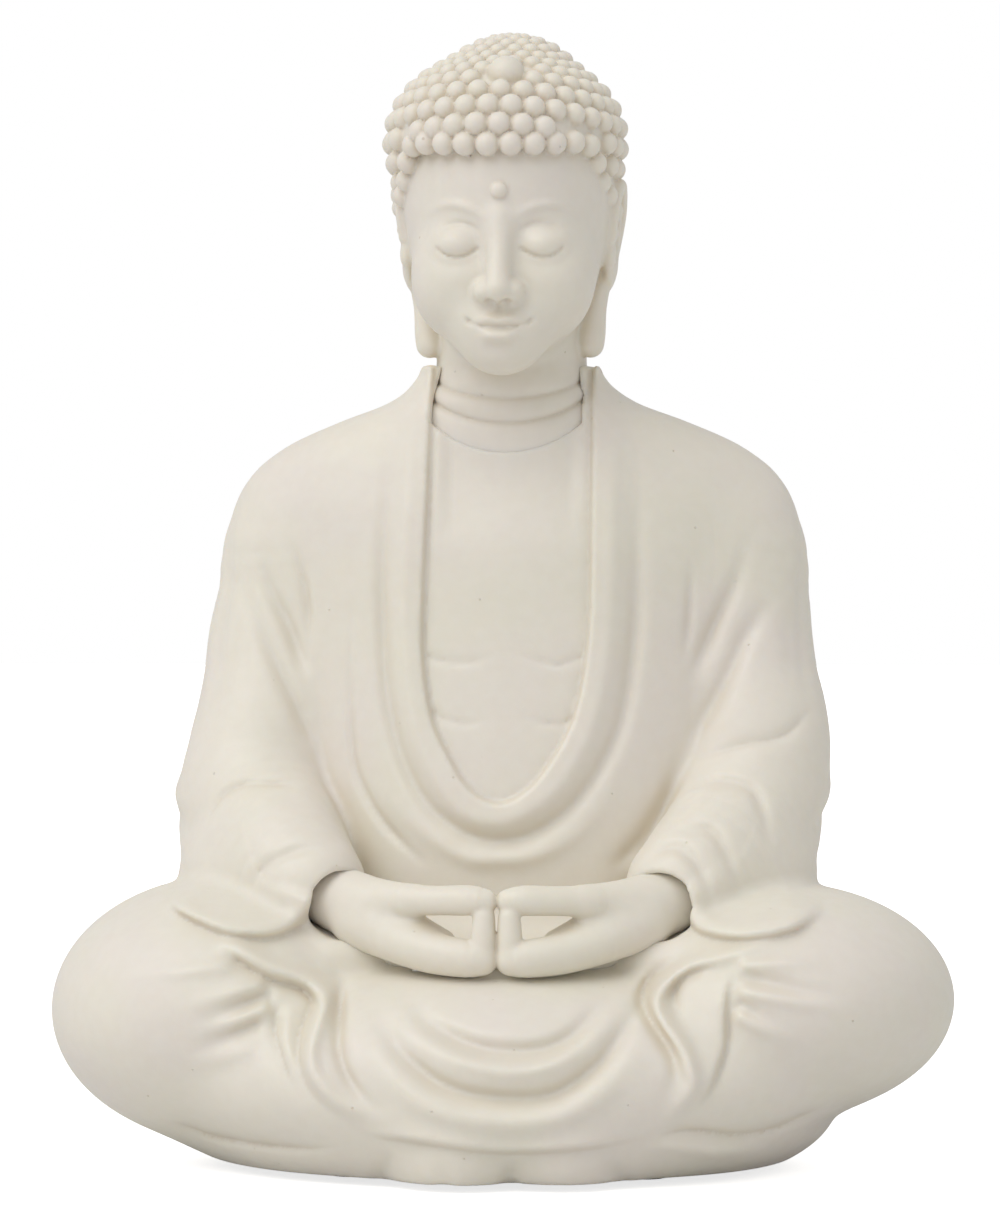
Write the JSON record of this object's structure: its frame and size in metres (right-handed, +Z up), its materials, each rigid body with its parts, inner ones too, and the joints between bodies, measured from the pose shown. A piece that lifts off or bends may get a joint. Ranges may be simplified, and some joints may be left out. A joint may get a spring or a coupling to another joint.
{
  "type": "buddha statue",
  "caption": "Seated meditating buddha figure in ivory cast resin, hollow, sand-weighted, closed underneath by a screwed board with a soft filler plug.",
  "frame": {"origin": "on the floor under the middle of the figure", "axes": "+Z up, the figure faces -Y, +X towards the figure's left hand"},
  "size_m": [0.2359, 0.1482, 0.3],
  "materials": {
    "ivory_resin": "matt cast resin, slightly waxy and translucent",
    "steel_pin": "zinc plated",
    "fibreboard": "sealed fibreboard",
    "black_rubber": "matt",
    "grey_rubber": "matt",
    "sand": "dry loose sand"
  },
  "bodies": {
    "figure": {"body_casting": "ivory_resin", "head_casting": "ivory_resin", "hands_casting": "ivory_resin", "neck_dowel": "steel_pin", "hand_dowels": "steel_pin", "base_board": "fibreboard", "base_gasket": "black_rubber", "base_screws": "steel_pin", "foot_pads": "black_rubber", "sand_fill": "sand"},
    "plug": {"filler_plug": "grey_rubber"}
  },
  "joints": [
    {"name": "plug_pull", "type": "slide", "parent": "figure", "child": "plug", "axis": [0, 0, -1], "range_m": [0, 0.03]}
  ]
}
